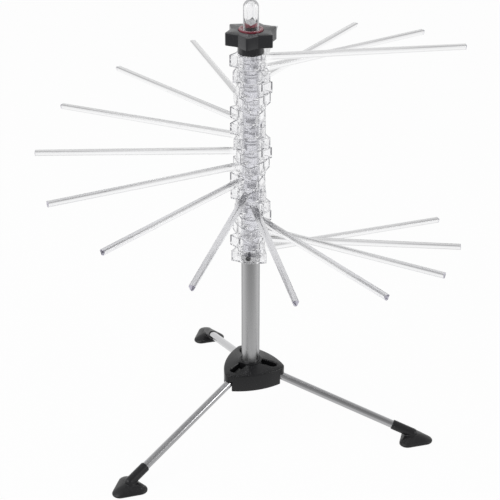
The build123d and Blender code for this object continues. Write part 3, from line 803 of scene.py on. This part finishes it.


# The last colour is the ring's painted glow.
arm_clear = clear_moulding("arm_clear", (0.985, 0.985, 0.99), roughness=0.03, painted_glow=(0.19, 0.19, 0.205))
# Painted shade colours for the arm's top and end, and the arm's painted glow.
paint_arm_shade(
    arm_clear, painted_top_shade=(0.26, 0.26, 0.267), painted_end_shade=(0.3, 0.285, 0.36), painted_glow_in_arm=(0.9, 0.9, 0.92))
arm_loops = [arm_loop(ARM_ROOT, ARM_ROOT_WIDTH, ARM_ROOT_HEIGHT, 0)]
for back, inset in ((0.5, 0), (0.15, 0.12), (0, 0.5)):
    arm_loops.append(arm_loop(ARM_REACH - back, ARM_TIP_WIDTH, ARM_TIP_HEIGHT, inset))
plain_arm = make_piece("arm_alone", *skin(arm_loops, closed=False), arm_clear)
across = plain_arm.data.attributes.new("across", "FLOAT", "POINT")
for point, vertex in zip(across.data, plain_arm.data.vertices):
    point.value = vertex.co.y / (ARM_TIP_WIDTH / 2 * MM)
fan = fan_tree()
members = frame["record"]["behaviour"]["bodies"]
bodies = {node: body for body in members for node in members[body]}
for level in range(1, ARM_COUNT + 1):
    if level < ARM_COUNT:
        loops = ring_loops(dogs=True, socket_r=RING_BORE, socket_depth=0.0)
    else:
        loops = ring_loops(dogs=False, socket_r=TUBE_R + TUBE_FIT, socket_depth=TUBE_SOCKET)
    ring = make_piece("ring_work", *skin(loops, closed=True), arm_clear)
    use_tree(
        ring, fan, Arm=plain_arm, Level=level, Step=radians(ARM_STEP), First_Angle=radians(FIRST_ARM_ANGLE),
        Pitch=ARM_PITCH * MM, Stack_Top=STACK_TOP * MM, Material=arm_clear,
    )
    arm = fixed(ring, f"moulded_arm_{level:02d}", arm_clear, CREASE)
    node = f"arm_{level:02d}"
    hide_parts(node)
    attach(arm, bodies[node])
bpy.data.objects.remove(plain_arm)

# Ring screw. A dark steel screw with a countersunk head, which goes through the lowest ring's
# wall and fixes it to the tube.

ring_steel = turned_steel("ring_steel", value=0.14, roughness=0.45)
dress("ring_screw", ring_steel)

# Knob. A black six-pointed star on a round collar, hollow below. It turns the top arm, and all
# the others follow through their dogs.

KNOB_POINTS = 6
KNOB_TIP_R = 28.4
KNOB_NOTCH_R = 20.6
KNOB_TIP_ROUND = 1.6
KNOB_NOTCH_ROUND = 0.8
KNOB_ANGLE = 21.2
KNOB_COLLAR_R = 13.7
KNOB_COLLAR_Z = STACK_TOP + 0.1
KNOB_WALL = 2.2
KNOB_RECESS = 1.5
KNOB_CEILING = KNOB_TOP - KNOB_RECESS - KNOB_WALL
RETAINER_R = 12.7


def star_loop(inset, height):
    """The star's outline, drawn in by an inset, at a height."""
    radii = (KNOB_TIP_R - inset * KNOB_TIP_R / KNOB_NOTCH_R, KNOB_NOTCH_R - inset)
    turns = [radians(KNOB_ANGLE + 180 / KNOB_POINTS * n) for n in range(2 * KNOB_POINTS)]
    corners = [(radii[n % 2] * cos(a), radii[n % 2] * sin(a)) for n, a in enumerate(turns)]
    rounds = [KNOB_TIP_ROUND, KNOB_NOTCH_ROUND] * KNOB_POINTS
    points = rounded_polygon(corners, rounds, arc_steps=6, edge_steps=3)
    return [(p.x, p.y, height) for p in points]


star_turns = [atan2(y, x) for x, y, z in star_loop(0, 0)]


def knob_circle(radius, height):
    return level_loop([radius] * len(star_turns), star_turns, height)


knob_black = moulded_plastic(
    "knob_black", (0.021, 0.021, 0.024), roughness=0.3, grain=2400, grain_depth=0.00005, coat=0.25)
knob_loops = [
    knob_circle(RING_BORE, KNOB_COLLAR_Z),
    knob_circle(KNOB_COLLAR_R - 0.5, KNOB_COLLAR_Z),
    knob_circle(KNOB_COLLAR_R, KNOB_COLLAR_Z + 0.5),
    knob_circle(KNOB_COLLAR_R, KNOB_CEILING),
    star_loop(KNOB_WALL, KNOB_CEILING),
    star_loop(KNOB_WALL, KNOB_BASE),
    star_loop(0.45, KNOB_BASE),
    star_loop(0.1, KNOB_BASE + 0.15),
    star_loop(0, KNOB_BASE + 0.5),
    star_loop(0, KNOB_TOP - 0.9),
    star_loop(0.1, KNOB_TOP - 0.5),
    star_loop(0.35, KNOB_TOP - 0.15),
    star_loop(0.8, KNOB_TOP),
    knob_circle(RETAINER_R + 0.6, KNOB_TOP),
    knob_circle(RETAINER_R + 0.3, KNOB_TOP - 0.3),
    knob_circle(RETAINER_R + 0.3, KNOB_TOP - KNOB_RECESS),
    knob_circle(RING_BORE, KNOB_TOP - KNOB_RECESS),
]
knob = make_piece("star_knob", *skin(knob_loops, closed=True), knob_black)
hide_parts("knob")
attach(knob, "knob_and_top_arm")

# Retaining ring. A glossy dark red ring on the sleeve's end that keeps the knob down. Its dished
# top guides the wand in.

RETAINER_BASE = KNOB_TOP - 1.35
RETAINER_TOP = KNOB_TOP + 1.3
RETAINER_BORE = SLEEVE_R + 0.05
red_gloss = moulded_plastic(
    "red_gloss", (0.2, 0.012, 0.03), roughness=0.25, grain=1200, grain_depth=0.00001, coat=0.6)
retainer_profile = [
    (RETAINER_BORE, RETAINER_BASE),
    (RETAINER_R, RETAINER_BASE),
    (RETAINER_R, RETAINER_TOP - 0.7),
    (RETAINER_R - 0.2, RETAINER_TOP - 0.2),
    (RETAINER_R - 0.7, RETAINER_TOP),
    (SLEEVE_BORE + 2.0, RETAINER_TOP),
    (SLEEVE_BORE + 1.5, RETAINER_TOP - 0.15),
    (SLEEVE_BORE, SLEEVE_TOP + 0.15),
    (SLEEVE_BORE, SLEEVE_TOP),
    (RETAINER_BORE, SLEEVE_TOP),
]
retainer = make_piece("red_ring", *skin(lathe(retainer_profile, COLUMN_SIDES), closed=True), red_gloss)
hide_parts("retaining_ring")
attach(retainer, "stand")

# Wand. A clear rod with a blind bore in its head, stored in the sleeve. It lifts pasta onto and
# off the arms.

WAND_R = 8.0
WAND_RISE = 29.4
WAND_TOP = KNOB_TOP + WAND_RISE
WAND_BASE = TUBE_BASE + 13.0
WAND_BORE = 5.1
WAND_BORE_DEPTH = 21.0
WAND_BORE_CONE = 4.2
WAND_FOOT_EDGE = 1.8
# The last colour is the wand's painted glow.
wand_clear = clear_moulding("wand_clear", (0.98, 0.98, 0.985), roughness=0.01, painted_glow=(0.42, 0.42, 0.43))
wand_profile = [
    (0, WAND_BASE),
    (WAND_R - WAND_FOOT_EDGE, WAND_BASE),
    (WAND_R, WAND_BASE + WAND_FOOT_EDGE),
    (WAND_R, WAND_TOP - 4.0),
    (WAND_R - 0.25, WAND_TOP - 3.2),
    (WAND_R - 0.9, WAND_TOP - 1.9),
    (6.0, WAND_TOP - 0.5),
    (5.5, WAND_TOP),
    (4.6, WAND_TOP),
    (4.4, WAND_TOP - 0.3),
    (WAND_BORE, WAND_TOP - 4.0),
    (WAND_BORE, WAND_TOP - WAND_BORE_DEPTH),
    (0, WAND_TOP - WAND_BORE_DEPTH - WAND_BORE_CONE),
]
wand = make_piece("clear_wand", *skin(lathe(wand_profile, COLUMN_SIDES), closed=False), wand_clear)
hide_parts("wand")
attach(wand, "wand")

# Studio. A white floor that runs far behind the rack, a sky that is white at the horizon and dim
# overhead, two soft lamps, and the camera at the photograph's angle.

FLOOR_Z = -0.2
FLOOR_HALF = 30000
FLOOR_WHITE_SHARE = 0.96
THROUGH_CLEAR = 0.97
SKY_LIGHT = 0.55


def sees_background(tree, path):
    """1 for a ray that sees the background itself: from the camera, off metal or through glass."""
    direct = reckon(tree, "MAXIMUM", path["Is Camera Ray"], path["Is Glossy Ray"])
    return reckon(tree, "MAXIMUM", direct, path["Is Transmission Ray"])


def whitened(tree, path, strength):
    """A strength that is at least nearly white through clear pieces, and white for the camera."""
    through = reckon(tree, "MULTIPLY", path["Is Transmission Ray"], THROUGH_CLEAR)
    return reckon(tree, "MAXIMUM", reckon(tree, "MAXIMUM", strength, through), path["Is Camera Ray"])


def soft_background(name, white_share):
    """White where the camera, metal and glass see it, with a share of the real, lit surface for the
    shadow. Metal sees it dimmer in front of the rack, as in a dark room behind the camera."""
    material, tree, lit, where = new_material(name, {"Base Color": (0.8, 0.8, 0.8, 1), "Roughness": 0.9})
    path = add_node(tree, "ShaderNodeLightPath").outputs
    depth = add_node(tree, "ShaderNodeSeparateXYZ", {"Vector": where}).outputs["Y"]
    strength = whitened(tree, path, ramp(tree, depth, -0.5, 0.1, 0.3))
    surface = add_node(tree, "ShaderNodeMixShader", {
        "Fac": reckon(tree, "MULTIPLY", sees_background(tree, path), white_share),
        1: lit.outputs["BSDF"],
        2: add_node(tree, "ShaderNodeEmission", {"Strength": strength}).outputs["Emission"],
    })
    feed(tree.nodes["Material Output"], {"Surface": surface.outputs["Shader"]})
    return material


floor_verts = [(x * FLOOR_HALF, y * FLOOR_HALF, FLOOR_Z) for x, y in ((-1, -1), (1, -1), (1, 1), (-1, 1))]
floor_white = soft_background("floor_white", FLOOR_WHITE_SHARE)
floor = make_piece("floor", floor_verts, [(0, 1, 2, 3)], floor_white)

world = bpy.data.worlds.new("studio")
bpy.context.scene.world = world
world.use_nodes = True
sky = world.node_tree
path = add_node(sky, "ShaderNodeLightPath").outputs
whole_sky = add_node(sky, "ShaderNodeTexCoord").outputs["Generated"]
direction = add_node(sky, "ShaderNodeSeparateXYZ", {"Vector": whole_sky}).outputs
overhead = ramp(sky, direction["Z"], 0.16, 0.9, 1.0, 0.5)
in_front = ramp(sky, direction["Y"], -0.7, 0.1, 0.45)
seen_sky = reckon(sky, "MULTIPLY", overhead, in_front)
either_sky = {"Factor": sees_background(sky, path), "A": SKY_LIGHT, "B": seen_sky}
sky_strength = add_node(sky, "ShaderNodeMix", either_sky).outputs["Result"]
feed(sky.nodes["Background"], {"Color": (1, 1, 1, 1), "Strength": whitened(sky, path, sky_strength)})


def soft_lamp(name, place, target, size, power):
    """A square soft box, which is not seen through the clear pieces."""
    lamp = bpy.data.lights.new(name, "AREA")
    lamp.size = size
    lamp.energy = power
    holder = bpy.data.objects.new(name, lamp)
    bpy.context.scene.collection.objects.link(holder)
    holder.visible_transmission = False
    holder.location = place
    holder.rotation_euler = (Vector(target) - Vector(place)).to_track_quat("-Z", "Y").to_euler()


soft_lamp("key", place=(-1.6, -0.9, 1.8), target=(0, 0, 0.3), size=2.0, power=25)
soft_lamp("side", place=(1.9, -0.7, 1.1), target=(0, 0, 0.2), size=0.8, power=7.5)

CAMERA_PLACE = Vector((0, -1.4076, 0.9442))
CAMERA_AIM = Vector((0, 0, 0.2167))
CAMERA_ROLL = 0.08
camera = bpy.data.cameras.new("camera")
camera.sensor_width = 36
camera.lens = 105.36
camera.shift_x = -0.0013
camera.clip_end = 100
viewpoint = bpy.data.objects.new("camera", camera)
bpy.context.scene.collection.objects.link(viewpoint)
look = (CAMERA_AIM - CAMERA_PLACE).to_track_quat("-Z", "Y").to_matrix().to_4x4()
roll = Matrix.Rotation(radians(CAMERA_ROLL), 4, "Z")
viewpoint.matrix_world = Matrix.Translation(CAMERA_PLACE) @ look @ roll
bpy.context.scene.camera = viewpoint
bpy.context.scene.view_settings.view_transform = "Standard"
